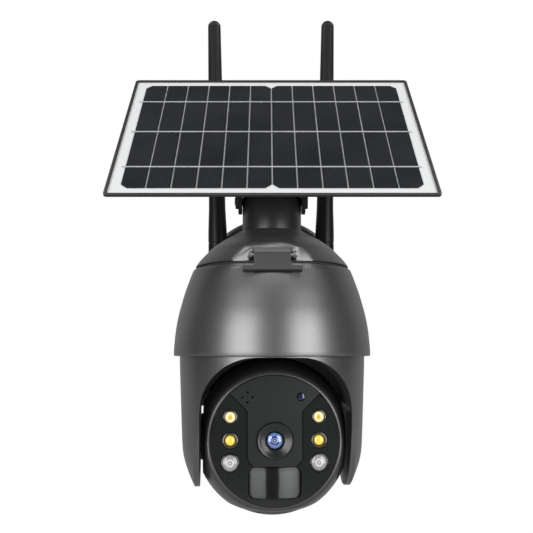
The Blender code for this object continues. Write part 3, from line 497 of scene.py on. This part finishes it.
# ------------------------------------------------------------------ egg housing
egg = lathe("egg_housing", [(58.5, SEAM_Z - 1.4), (59.1, SEAM_Z - 1.55), (59.5, SEAM_Z - 1.9)] + egg_skin[1:]
            + [(73.45, -57.1), (73.0, RIM_BOTTOM), (71.3, RIM_BOTTOM), (71.0, -57.0), (70.7, -54.5)]
            + [p for p in inset(EGG_SKIN, 3.0)[::-1] if -50 < p[1] < 2.0] + [(54.2, SEAM_Z - 1.4)], PAINT, 224)
cut(egg, latch_slot(2.6, 13.4))
foot = latch_slot(1.9, 21.0)
common(foot, block("c2", (-30, -80, -3.2), (30, -40, 4.6), PAINT))
cut(egg, foot)


ledge = [(22.4, 3.3), (36.5, 3.3), (39.0, 7.6), (22.4, 7.6)]
for sx in (1, -1):
    band = lathe("c", [(75.0, 10.0), (75.0, 1.0), (61.96, 1.0), (56.63, 10.0)], PAINT, 192)
    cut(egg, common(band, prism("c2", [(sx * x, z) for x, z in ledge], -90, -20, PAINT)))
cut(egg, prism("c", rounded_rect(-20.3, -48.3, 20.3, -25.7, 3.0), 40, 90, PAINT))
place(egg, M_DOME, ROOT, 0.0, ["main_housing"], "gunmetal_paint")

# ------------------------------------------------------------------ yoke
yoke = lathe("yoke_arms", [(0, -56.0), (68.9, -56.0), (69.2, -56.4)] + yoke_skin + [(48, -153.5), (0, -153.5)], PAINT, 192, "Z", False)
SKIRT, SKIRT_Z = 71.0, -96.0
side_view = ([(SKIRT, -55), (SKIRT, SKIRT_Z), (30.0, SKIRT_Z), (27.3, -97.2), (25.6, SKIRT_Z - 5), (24.2, -110), (22.6, -128)]
             + [(21.6 * math.cos(math.radians(a)), -130 + 23.0 * math.sin(math.radians(a))) for a in range(-8, -91, -6)]
             + smooth([(-8.0, -151.6), (-17.0, -147.5), (-27.0, -138.0), (-34.5, -126.0), (-39.0, -114.0), (-42.0, -104.0)], 4)
             + [(-SKIRT, -100.0), (-SKIRT, -55)])
common(yoke, prism("c2", side_view, -80, 80, PAINT, "X"))
arch = ([(53.2, -200)] + arc(15.2, -96.2, 38.0, 0, 90, 36) + arc(-15.2, -96.2, 38.0, 90, 180, 36) + [(-53.2, -200)])
cut(yoke, prism("c", arch, -80, 2.0, PAINT), block("c", (-53.2, 1.0, -200), (53.2, 80, SKIRT_Z + 0.4), PAINT))
S, IN, FACE_Y = 57.3, 54.8, -30.4
well = S + 1.3
cut(yoke, lathe("c", [(well * math.sin(math.radians(a)), BALL_Z + well * math.cos(math.radians(a))) for a in range(0, 181, 3)], PAINT,
                160, "Z", False))
hollow = rod("c", 62.3, -130, -61.0, PAINT, "Z", 160)
cut(yoke, common(hollow, block("c2", (-80, 27.5, -140), (80, 80, -50), PAINT)))
cut(yoke, rod("c", 7.0, -70, -50, PAINT, "Z", 48))
# painted shade: the inside of the ball well and the rear hollow take the black plastic finish, darker than the paint,
# where the yoke's shade falls
yoke.data.materials.append(PLASTIC)
for poly in yoke.data.polygons:
    c = poly.center / MM
    painted_shade_zone = (Vector((c.x, c.y, c.z - BALL_Z)).length < well + 0.3) or (c.y > 27.0 and math.hypot(c.x, c.y) < 62.6 and c.z > -96.5)
    if painted_shade_zone and c.z < -57.6:
        poly.material_index = 1
place(yoke, M_PAN, YOKE, 0.0, ["yoke_shell"], "gunmetal_paint")
wd = yoke.modifiers.new("weld", "WELD")
wd.merge_threshold = 0.000002
b = yoke.modifiers.new("soft_edges", "BEVEL")
b.width, b.segments, b.limit_method, b.angle_limit = 1.3 * MM, 4, "ANGLE", math.radians(40)
b.harden_normals = True

# ------------------------------------------------------------------ ball


def belly():
    return lathe("c2", [(70.0 * math.sin(math.radians(a)), 15.0 + 70.0 * math.cos(math.radians(a))) for a in range(0, 181, 3)], PAINT, 158,
                 "Z", False)


front = lathe("ball_front", [(0, FACE_Y), (46.9, FACE_Y), (47.5, FACE_Y + 0.12), (48.4, FACE_Y + 0.6), (49.1, FACE_Y + 1.2)]
              + sphere_side(S, -28.3, -0.15, 24) + [(0, -0.15)], PAINT_DARK, 150, "Y", False)
common(front, block("c2", (-51, -80, -80), (51, 80, 80), PAINT))
common(front, belly())
inner = lathe("c", [(0, -40), (46.3, -40), (46.3, -28.0), (44.4, -28.0), (44.4, -26.0)] + sphere_side(IN, -26.0, -0.15, 12)
              + [(IN, 1.0), (0, 1.0)], PAINT, 148, "Y", False)
common(inner, block("c2", (-48, -80, -80), (48, 80, 80), PAINT))
cut(front, inner, rod("c", 9.3, -60, 60, PAINT, "X", 62), rod("c", 27.3, -60, -40, PAINT, "Z", 94))
place(front, M_TILT, BALL, 0.35, ["ball_front_shell"], "gunmetal_paint")
rear = lathe("ball_rear", [(0, 0.15)] + sphere_side(S, 0.15, S, 30)[:-1] + [(0, S)], PAINT_DARK, 150, "Y", False)
common(rear, block("c2", (-51, -80, -80), (51, 80, 80), PAINT))
common(rear, belly())
inner = lathe("c", [(0, -1.0), (IN, -1.0)] + sphere_side(IN, 0.15, IN, 14)[:-1] + [(0, IN)], PAINT, 122, "Y", False)
common(inner, block("c2", (-48, -80, -80), (48, 80, 80), PAINT))
cut(rear, inner, rod("c", 9.3, -60, 60, PAINT, "X", 62), rod("c", 27.3, -60, -40, PAINT, "Z", 94))
place(rear, M_TILT, BALL, 0.3, ["ball_rear_shell"], "gunmetal_paint")
card = lathe("card_lid", [(0, -56.0)] + [(r, -math.sqrt(56.0 ** 2 - r * r)) for r in (3, 6, 9, 12, 15, 18, 21, 23.5, 25.5, 26.6)]
             + [(27.0, -48.6), (27.0, -46.6), (0, -46.6)], PLASTIC, 96, "Z", False)
for a in (60, 240):
    x, y = 21 * math.cos(math.radians(a)), 21 * math.sin(math.radians(a))
    cut(card, rod("c", 2.0, -60, -50.9, PLASTIC, "Z", 32, (x, y, 0)))
place(card, M_TILT, BALL, 0.2, ["card_cover"], "black_plastic")

# ------------------------------------------------------------------ face
LEDS = [(-31.6, 16.4, 4.95), (-31.6, 0.2, 5.5), (-31.6, -15.4, 6.5), (31.4, 16.4, 4.95), (31.4, 0.2, 5.5), (31.4, -15.4, 6.5)]
MIC = [(-19.4, 30.4, 0.45), (-19.4, 33.9, 0.8), (-19.4, 26.9, 0.8), (-22.9, 30.4, 0.8), (-15.9, 30.4, 0.8)]
SENSOR = (18.6, 30.6)
a0 = math.degrees(math.atan2(32.0, 30.9))
outline = (arc(0, 0, 45.7, a0, 180 - a0, 64) + [(-20.4, 21.9), (-19.6, 20.7), (-19.3, 19.2), (-19.2, -12.0), (-18.8, -13.2), (-15.6, -17.2),
                                               (-14.4, -17.9), (14.4, -17.9), (15.6, -17.2), (18.8, -13.2), (19.2, -12.0), (19.3, 19.2),
                                               (19.6, 20.7), (20.4, 21.9)])


def offset(pts, t):
    """Closed outline moved outward by t."""
    out = []
    n = len(pts)
    area = sum(pts[i][0] * pts[(i + 1) % n][1] - pts[(i + 1) % n][0] * pts[i][1] for i in range(n))
    k = 1.0 if area > 0 else -1.0
    for i in range(n):
        (ax, ay), (bx, by), (cx_, cy_) = pts[i - 1], pts[i], pts[(i + 1) % n]
        u, v = Vector((bx - ax, by - ay)).normalized(), Vector((cx_ - bx, cy_ - by)).normalized()
        nu, nv = Vector((u.y, -u.x)) * k, Vector((v.y, -v.x)) * k
        m = (nu + nv).normalized()
        m = m / max(0.5, m.dot(nu))
        out.append((bx + m.x * t, by + m.y * t))
    return out


face = prism("face_disc", arc(0, 0, 46.0, 0, 360, 180)[:-1], -30.2, -28.3, GLOSS)
for x, z, r in LEDS:
    cut(face, rod("c", r + 0.3, -40, -20, GLOSS, "Y", 64, (x, 0, z)))
cut(face, rod("c", 11.2, -40, -20, GLOSS, "Y", 96), rod("c", 3.1, -40, -20, GLOSS, "Y", 40, (SENSOR[0], 0, SENSOR[1])),
    prism("c", rounded_rect(-18.8, -40.0, 18.8, -18.4, 4.4), -40, -20, GLOSS), rod("c", 0.7, -40, -29.4, GLOSS, "Y", 20, (-39.0, 0, -8.2)))
for x, z, r in MIC:
    cut(face, rod("c", r, -40, -20, GLOSS, "Y", 20, (x, 0, z)))
recess = prism("c", offset(outline, 0.75), -40, -29.5, GLOSS)
common(recess, rod("c2", 45.95, -50, -20, GLOSS, "Y", 170))
cut(face, recess)
place(face, M_TILT, BALL, 0.2, ["face_plate"], "black_gloss")
centre = prism("face_centre", outline, -31.4, -30.5, CENTRE)
cut(centre, rod("c", 13.1, -40, -20, CENTRE, "Y", 96), rod("c", 3.1, -40, -20, CENTRE, "Y", 40, (SENSOR[0], 0, SENSOR[1])))
for x, z, r in MIC:
    cut(centre, rod("c", r, -40, -20, CENTRE, "Y", 20, (x, 0, z)))
place(centre, M_TILT, BALL, 0.35, ["face_centre_plate"], "black_gloss")
bezel = lathe("lens_cone", [(10.9, -28.5), (10.9, -30.5), (12.8, -30.5), (12.8, -33.0), (12.6, -33.5), (12.2, -33.8), (11.6, -33.75),
                            (11.0, -33.4), (8.9, -32.3), (7.3, -31.7), (6.9, -31.5), (6.5, -31.0), (6.5, -28.5)], CENTRE, 128, "Y")
place(bezel, M_TILT, BALL, 0.0, ["lens_bezel"], "black_gloss")
glass = lathe("lens_front", [(0, -32.0), (1.4, -31.93), (2.8, -31.7), (4.2, -31.25), (5.2, -30.7), (5.9, -30.1), (6.1, -29.7), (6.1, -28.8),
                             (0, -28.8)], LENS_PAINTED_GLINTS, 96, "Y", False)
place(glass, M_TILT, BALL, 0.0, ["lens_glass"], "lens_glass")
for i, (x, z, r) in enumerate(LEDS, 1):
    row = (i - 1) % 3
    c = (x, 0, z)
    k = {0: 0.8, 1: 0.7, 2: 0.96}[row]
    inner_mat = {0: WARM_A, 1: WARM_B, 2: CLEAR}[row]
    ring = lathe("lamp_rim_%d" % i, [(r, -28.6), (r, -30.4), (r - 0.25, -30.9), (r - 0.6, -31.0), (r * k + (0.45 if row != 2 else 0.2), -30.5), (r * k + 0.12, -29.6),
                                     (r * k + 0.12, -28.6)], RIM if row != 2 else GLOSS, 64, "Y", True, c)
    place(ring, M_TILT, BALL)
    dome = lathe("lamp_dome_%d" % i, [(0, -31.3), (r * k * 0.3, -31.2), (r * k * 0.6, -30.85), (r * k * 0.85, -30.3), (r * k, -29.5),
                                      (r * k, -28.6), (r * 0.5, -22.4), (0, -22.4)], inner_mat, 64, "Y", False, c)
    place(dome, M_TILT, BALL, 0.0, ["led_lens_%d" % i], "warm_led_lens" if row != 2 else "clear_led_lens")
# the window bulges about an upright axis
win = prism("sensor_window", rounded_rect(-18.5, -39.7, 18.5, -18.7, 4.1, 12), -32.5, -27.4, PAINTED_REFLECTION_PANE)
R = 46.0
common(win, lathe("c2", [(0, -18.0), (R, -18.0), (R, -40.5), (0, -40.5)], GLOSS, 256, "Z", False, (0, R - 31.15, 0)))
place(win, M_TILT, BALL, 0.25, ["pir_window"], "pir_window")
eye = lathe("ambient_eye", [(0, -31.0), (1.6, -30.95), (2.5, -30.75), (2.8, -30.4), (2.8, -27.0), (0, -27.0)], EYE, 48, "Y", False,
            (SENSOR[0], 0, SENSOR[1]))
place(eye, M_TILT, BALL, 0.0, ["light_sensor"], "lens_glass")

# ------------------------------------------------------------------ solar panel
f0, f1 = local_box("solar_frame", M_PANEL)
x1, y0, y1, zb, zt = f1.x, f0.y, f1.y, f0.z, f1.z
PT = zt - zb
profile = [(0.0, -0.45), (0.12, -0.15), (0.45, 0.0), (2.2, 0.0), (2.4, -0.2), (2.4, -1.2), (1.4, -1.2), (1.4, -2.7), (16.0, -2.7), (16.0, -PT),
           (12.0, -PT), (12.0, -4.8), (4.2, -4.8), (0.35, -2.25), (0.08, -2.05), (0.0, -1.8)]
bm = bmesh.new()
loops = []
for u, w in profile:
    outline = rounded_rect(-x1 + u, y0 + u, x1 - u, y1 - u, max(3.0 - u, 0.5), 8)
    loops.append([bm.verts.new((a, b, zt + w)) for a, b in outline])
for la, lb in zip(loops, loops[1:] + loops[:1]):
    for i in range(len(la)):
        bm.faces.new((la[i], la[(i + 1) % len(la)], lb[(i + 1) % len(la)], lb[i]))
pf = build("panel_frame", bm, ALU)
place(pf, M_PANEL, SOLAR, 0.0, ["solar_frame"], "frame_aluminium")
c0, c1 = local_box("solar_cells", M_PANEL)
cx, cy0, cy1, cz = c1.x, c0.y, c1.y, c0.z
pitch, ch, gap = 2 * cx / 12, 4.5, 0.85
bm = bmesh.new()
for i in range(12):
    xa, xb = -cx + i * pitch + (0 if i == 0 else gap / 2), -cx + (i + 1) * pitch - (0 if i == 11 else gap / 2)
    left, right = i % 6 == 0, i % 6 == 5
    pts = ([(xa + ch, cy0)] if left else [(xa, cy0)]) + ([(xb - ch, cy0), (xb, cy0 + ch)] if right else [(xb, cy0)])
    pts += ([(xb, cy1 - ch), (xb - ch, cy1)] if right else [(xb, cy1)]) + ([(xa + ch, cy1), (xa, cy1 - ch), (xa, cy0 + ch)] if left else [(xa, cy1)])
    f = bm.faces.new([bm.verts.new((a, b, cz)) for a, b in pts])
    e = bmesh.ops.extrude_face_region(bm, geom=[f])
    bmesh.ops.translate(bm, vec=(0, 0, 0.35), verts=[g for g in e["geom"] if isinstance(g, bmesh.types.BMVert)])
cells = build("cell_strips", bm, CELL)
place(cells, M_PANEL, SOLAR, 0.0, ["solar_cells"], "solar_cell")
bm = bmesh.new()
for frac in (0.175, 0.5, 0.815):
    y = cy0 + (cy1 - cy0) * frac
    w, h, t = 0.75, 2.6, cz + 0.36
    ring = [(-cx - h, y - w), (cx + h, y - w), (cx + h + 0.5, y), (cx + h, y + w), (-cx - h, y + w), (-cx - h - 0.5, y)]
    f = bm.faces.new([bm.verts.new((a, b, t - 0.45)) for a, b in ring])
    e = bmesh.ops.extrude_face_region(bm, geom=[f])
    bmesh.ops.translate(bm, vec=(0, 0, 0.53), verts=[g for g in e["geom"] if isinstance(g, bmesh.types.BMVert)])
bars = build("busbars", bm, TIN)
place(bars, M_PANEL, SOLAR, 0.1)

# ------------------------------------------------------------------ antennas, wall plate and arm
for side in ("left", "right"):
    j = JOINTS["antenna_fold_" + side]
    ax = Vector(j["axis"])
    m = Matrix.Translation(Vector(j["pos_m"])) @ Matrix.Rotation(math.atan2(-ax.z, ax.x), 4, "Y")
    b0, b1 = local_box("antenna_whip_" + side, m)
    tip, r1, r0 = b1.z, 5.8, 8.35
    prof = [(0, tip)] + [(r1 * math.sin(math.radians(a)), tip - 5.6 + 5.6 * math.cos(math.radians(a))) for a in range(10, 91, 10)]
    prof += [(r0 - 0.9, 60), (r0 - 0.3, 46), (r0, 36), (r0, 30.6), (r0 - 0.35, 30.2), (r0 - 0.35, 29.4), (r0, 29.0), (r0, 12.0), (r0 - 0.3, 10.6),
             (r0 - 1.0, 9.7), (0, 9.6)]
    whip = lathe("antenna_rod_" + side, prof, WHIP, 64, "Z", False)
    join(whip, prism("c", arc(0, 0, 4.6, 180, 360, 24) + [(4.2, 12), (-4.2, 12)], -2.9, 2.9, WHIP, "X"))
    cut(whip, rod("c", 1.9, -9, 9, WHIP, "X", 32))
    place(whip, m, "antenna_" + side, 0.0, ["antenna_whip_" + side], "black_plastic")

wc = lathe("wall_shell", [(0, -14.0), (58, -14.0)] + [(61 + 6 * math.sin(math.radians(a)), -8.0 - 6 * math.cos(math.radians(a))) for a in range(0, 91, 10)]
           + [(67.0, -3.8), (64.5, -3.8), (64.5, -9.0), (61.0, -11.4), (0, -11.4)], PLASTIC, 160, "Y", False)
cut(wc, rod("c", 8, -20, 0, PLASTIC, "Y", 48, (0, 0, 6)), rod("c", 3.9, -20, 0, PLASTIC, "Y", 32, (-47, 0, 12)),
    rod("c", 3.9, -20, 0, PLASTIC, "Y", 32, (47, 0, 12)))
place(wc, Matrix.Identity(4), ROOT, 0.25, ["wall_cover"], "black_plastic")
wp = lathe("wall_base_plate", [(0, 0), (65.6, 0), (66.0, -0.4), (66.0, -2.7), (65.2, -3.5), (0, -3.5)], PLASTIC, 160, "Y", False)
for k in range(4):
    a = math.radians(45 + 90 * k)
    cut(wp, rod("c", 2.6, -8, 4, PLASTIC, "Y", 40, (48 * math.cos(a), 0, 48 * math.sin(a))))
place(wp, Matrix.Identity(4), ROOT, 0.3, ["wall_plate"], "black_plastic")

stations = [(-14.3, 6, 25, 24), (-16.5, 6.1, 24.8, 23.8), (-19, 6.5, 24, 23), (-24, 10, 20, 18.5), (-34, 15.5, 18, 14), (-46, 20.6, 17, 12),
            (-60, 23.2, 17, 10.6), (-84, 24, 17, 10.4)]
fine = []
for i in range(len(stations) - 1):
    p0, p1, p2, p3 = stations[max(i - 1, 0)], stations[i], stations[i + 1], stations[min(i + 2, len(stations) - 1)]
    for k in range(5):
        t = k / 5
        fine.append(tuple(0.5 * (2 * p1[q] + (p2[q] - p0[q]) * t + (2 * p0[q] - 5 * p1[q] + 4 * p2[q] - p3[q]) * t * t
                                 + (3 * p1[q] - p0[q] - 3 * p2[q] + p3[q]) * t ** 3) for q in range(4)))
fine.append(stations[-1])
bm = bmesh.new()
rings = []
for y, cz_, hw, hh in fine:
    rings.append([bm.verts.new((hw * math.copysign(abs(math.cos(a)) ** 0.6, math.cos(a)), y,
                                cz_ + hh * math.copysign(abs(math.sin(a)) ** 0.6, math.sin(a))))
                  for a in [2 * math.pi * (i + 0.5) / 64 for i in range(64)]])
for a, b in zip(rings, rings[1:]):
    for i in range(64):
        bm.faces.new((a[i], a[(i + 1) % 64], b[(i + 1) % 64], b[i]))
bm.faces.new(rings[0])
bm.faces.new(rings[-1])
arm = build("carrying_arm", bm, PLASTIC)
grown = inset(cap_skin, -0.3)
cut(arm, lathe("c", [(0, grown[0][1])] + grown + [(grown[-1][0] + 2, 9.6), (0, 9.6)], PLASTIC, 160, "Z", False, tuple(AXIS / MM)),
    rod("c", 6, -40, -10, PLASTIC, "Y", 40, (0, 0, 8)))
place(arm, Matrix.Identity(4), ROOT, 0.4, ["mounting_arm"], "black_plastic")

# ------------------------------------------------------------------ CAD pieces that stay, with their finishes
FINISH = {PLASTIC: ["antenna_base_left", "antenna_base_right", "control_panel", "housing_base", "battery_holder", "tilt_bush_left",
                    "tilt_bush_right", "camera_module", "junction_box"],
          SATIN: ["pan_hub", "panel_bracket"],
          STEEL: ["pan_bearing", "pan_motor", "tilt_motor", "tilt_axle_left", "tilt_axle_right", "reset_button"], BOLT: ["pivot_bolt", "pivot_nut"],
          BRASS: ["antenna_nut_left", "antenna_nut_right", "pan_pinion", "tilt_pinion"], NYLON: ["pan_gear", "tilt_gear"],
          RUBBER: ["power_button", "charge_port_flap"], BOARD: ["main_board"], WHITE: ["solar_laminate"],
          WRAP: ["battery_cell_1", "battery_cell_2", "battery_cell_3"]}
for mat, names in FINISH.items():
    for n in names:
        o = NODES[n]
        if not o.data.materials:
            o.data.materials.append(mat)
        for k in range(len(o.data.materials)):
            o.data.materials[k] = mat
for n, w in (("panel_bracket", 0.5), ("control_panel", 0.4), ("antenna_base_left", 0.4), ("antenna_base_right", 0.4), ("junction_box", 0.4),
             ("pivot_nut", 0.3), ("antenna_nut_left", 0.3), ("antenna_nut_right", 0.3), ("charge_port_flap", 0.25)):
    o = NODES[n]
    wd = o.modifiers.new("weld", "WELD")
    wd.merge_threshold = 0.00001
    b = o.modifiers.new("soft_edges", "BEVEL")
    b.width, b.segments, b.limit_method, b.angle_limit = w * MM, 2, "ANGLE", math.radians(34)

# ------------------------------------------------------------------ stage, light and camera
BOUNCE, WORLD = 0.4, 0.03


def emit(name, rgb, strength):
    m = bpy.data.materials.new(name)
    m.use_nodes = True
    nt = m.node_tree
    nt.nodes.clear()
    e = nt.nodes.new("ShaderNodeEmission")
    e.inputs["Color"].default_value = (*rgb, 1)
    e.inputs["Strength"].default_value = strength
    o = nt.nodes.new("ShaderNodeOutputMaterial")
    nt.links.new(e.outputs[0], o.inputs[0])
    return m


bm = bmesh.new()
rows = [(-2.5, -0.62), (0.75, -0.62)] + [(0.75 + 0.3 * math.sin(math.radians(a)), -0.32 - 0.3 * math.cos(math.radians(a))) for a in range(15, 91, 15)] + [(1.05, 2.6)]
prev = None
for y, z in rows:
    cur = [bm.verts.new((x / MM, y / MM, z / MM)) for x in (-3.0, 3.0)]
    if prev:
        bm.faces.new((prev[0], prev[1], cur[1], cur[0]))
    prev = cur
sweep = build("studio_sweep", bm, emit("pale_sweep", (1.0, 1.0, 1.0), 1.0))
sweep.visible_shadow = sweep.visible_glossy = sweep.visible_diffuse = False
bounce = bpy.data.objects.new("studio_bounce", sweep.data.copy())
bpy.context.scene.collection.objects.link(bounce)
bounce.data.materials[0] = emit("pale_bounce", (1.0, 1.0, 1.0), BOUNCE)
bounce.visible_camera = bounce.visible_shadow = False

world = bpy.data.worlds.new("studio")
bpy.context.scene.world = world
world.use_nodes = True
world.node_tree.nodes["Background"].inputs[0].default_value = (1, 1, 1, 1)
world.node_tree.nodes["Background"].inputs[1].default_value = WORLD


def softbox(name, az, el, dist, w, h, power, aim=(0, -0.118, -0.02)):
    a, e = math.radians(az), math.radians(el)
    l = bpy.data.lights.new(name, "AREA")
    l.shape, l.size, l.size_y, l.energy = "RECTANGLE", w, h, power
    o = bpy.data.objects.new(name, l)
    bpy.context.scene.collection.objects.link(o)
    back = Vector((math.sin(a) * math.cos(e), -math.cos(a) * math.cos(e), math.sin(e)))
    o.location = Vector(aim) + back * dist
    o.rotation_mode = "QUATERNION"
    o.rotation_quaternion = back.to_track_quat("Z", "Y")
    return o


softbox("left_strip", -33.5, 4, 1.3, 0.78, 1.0, 13.4)
softbox("right_strip", 38.5, 4, 1.3, 0.78, 1.0, 13.6)
softbox("key_top", 2, 61, 1.5, 0.9, 0.22, 7.0)
softbox("side_top_left", -84, 54, 1.3, 0.45, 0.4, 5.0)
softbox("side_top_right", 84, 54, 1.3, 0.45, 0.4, 5.5)

cam = bpy.data.cameras.new("view")
cam.lens, cam.sensor_width = 50.66, 36.0
cam.clip_start, cam.clip_end = 0.01, 20.0
camera = bpy.data.objects.new("view", cam)
bpy.context.scene.collection.objects.link(camera)
camera.location = (-0.0041, AXIS.y - 0.571, -0.053)
camera.rotation_euler = (math.radians(96.35), 0, 0)
bpy.context.scene.camera = camera
bpy.context.scene.view_settings.view_transform = "Standard"
bpy.context.scene.view_settings.look = "None"
